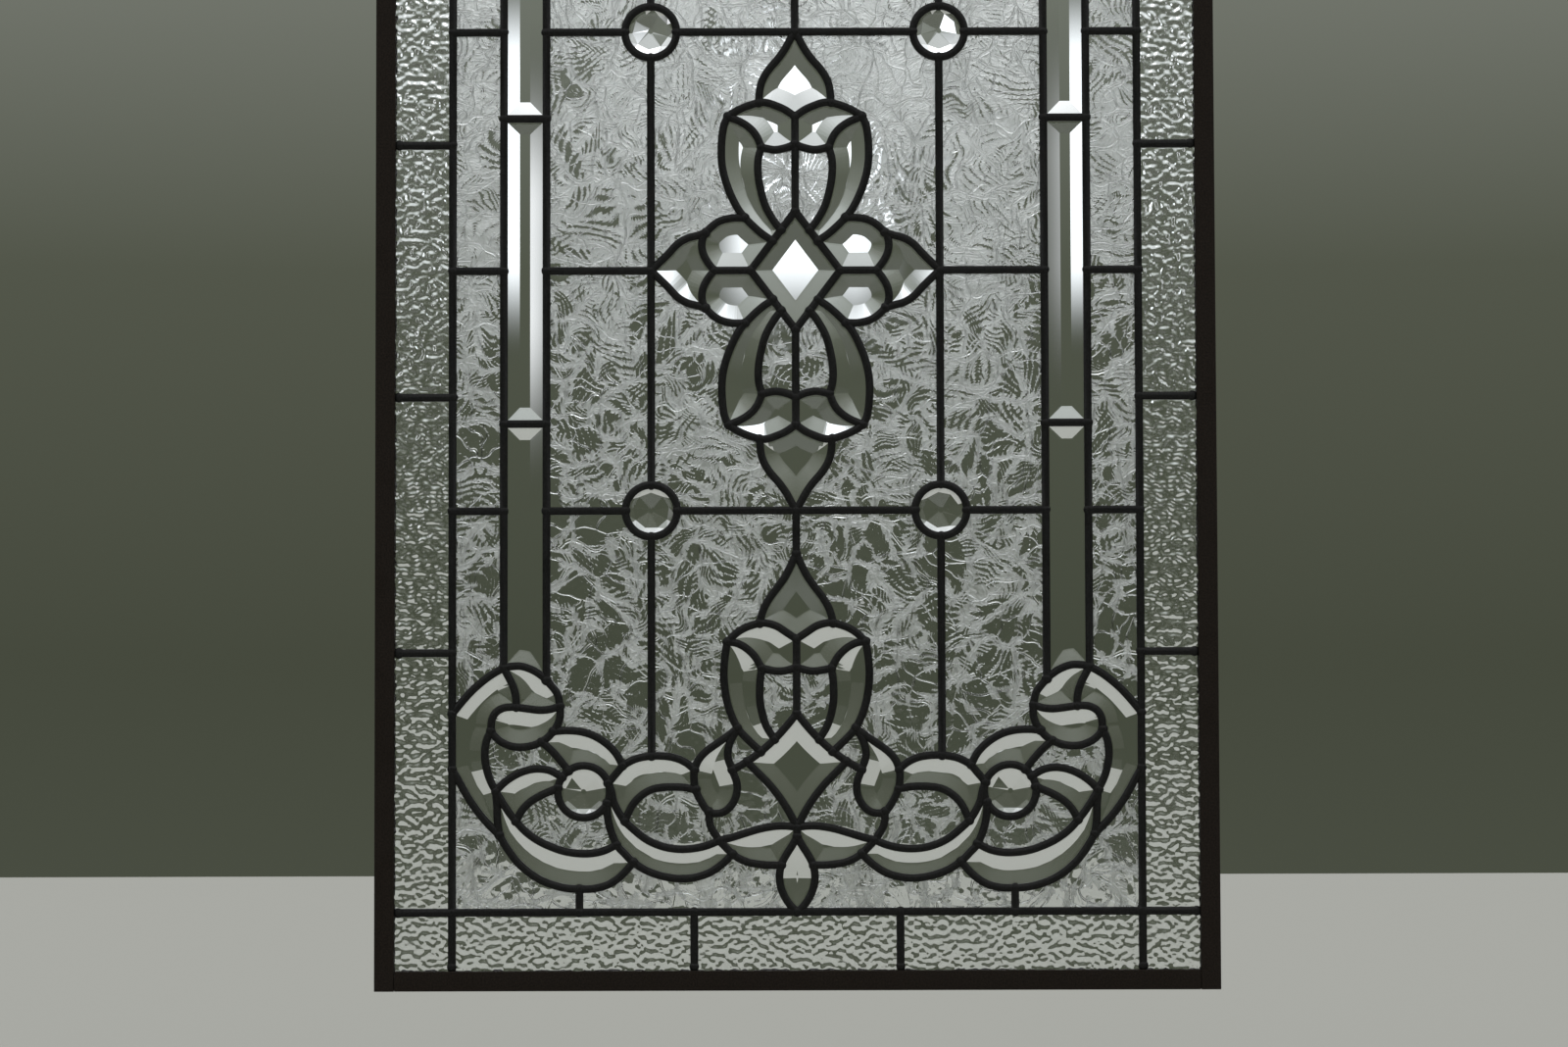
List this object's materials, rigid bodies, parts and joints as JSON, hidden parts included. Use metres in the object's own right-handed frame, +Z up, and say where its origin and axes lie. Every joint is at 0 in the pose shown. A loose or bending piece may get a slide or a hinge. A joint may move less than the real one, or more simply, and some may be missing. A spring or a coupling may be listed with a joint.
{
  "type": "leaded glass window panel",
  "caption": "Upright rectangular leaded glass panel in a slim metal frame, with soldered cames, clear bevels, round jewels and textured glass, made to hang in front of a window.",
  "frame": {"origin": "middle of the frame's top face, where the panel hangs", "axes": "+Z up along the panel, +X to the right seen from the front, +Y through the panel towards its back"},
  "size_m": [0.52, 0.009, 0.888],
  "materials": {
    "frame_metal": "dark brown-black patina, satin",
    "came_metal": "black patina, satin",
    "bevel_glass": "clear, polished bevels",
    "chip_glass": "clear with frosted, feathered chips",
    "border_glass": "clear, pebbled",
    "jewel_glass": "clear, faceted"
  },
  "bodies": {
    "root": {"bevels_bottom": "bevel_glass", "bevels_middle": "bevel_glass", "bevels_top": "bevel_glass", "border_bottom_1": "border_glass", "border_bottom_2": "border_glass", "border_bottom_3": "border_glass", "border_corner_bottom_left": "border_glass", "border_corner_bottom_right": "border_glass", "border_corner_top_left": "border_glass", "border_corner_top_right": "border_glass", "border_left_1": "border_glass", "border_left_2": "border_glass", "border_left_3": "border_glass", "border_left_4": "border_glass", "border_left_5": "border_glass", "border_right_1": "border_glass", "border_right_2": "border_glass", "border_right_3": "border_glass", "border_right_4": "border_glass", "border_right_5": "border_glass", "border_top_1": "border_glass", "border_top_2": "border_glass", "border_top_3": "border_glass", "came_network": "came_metal", "frame_bottom": "frame_metal", "frame_left": "frame_metal", "frame_right": "frame_metal", "frame_top": "frame_metal", "jewel_lower_left": "jewel_glass", "jewel_lower_right": "jewel_glass", "jewel_upper_left": "jewel_glass", "jewel_upper_right": "jewel_glass", "pane_inner_end_lower_left": "chip_glass", "pane_inner_end_lower_right": "chip_glass", "pane_inner_end_upper_left": "chip_glass", "pane_inner_end_upper_right": "chip_glass", "pane_inner_lower_left": "chip_glass", "pane_inner_lower_right": "chip_glass", "pane_inner_upper_left": "chip_glass", "pane_inner_upper_right": "chip_glass", "pane_outer_end_lower_left": "chip_glass", "pane_outer_end_lower_right": "chip_glass", "pane_outer_end_upper_left": "chip_glass", "pane_outer_end_upper_right": "chip_glass", "pane_outer_lower_left": "chip_glass", "pane_outer_lower_right": "chip_glass", "pane_outer_upper_left": "chip_glass", "pane_outer_upper_right": "chip_glass", "side_lower_left": "chip_glass", "side_lower_right": "chip_glass", "side_upper_left": "chip_glass", "side_upper_right": "chip_glass", "strip_end_lower_left": "bevel_glass", "strip_end_lower_right": "bevel_glass", "strip_end_upper_left": "bevel_glass", "strip_end_upper_right": "bevel_glass", "strip_middle_left": "bevel_glass", "strip_middle_right": "bevel_glass"}
  },
  "joints": []
}
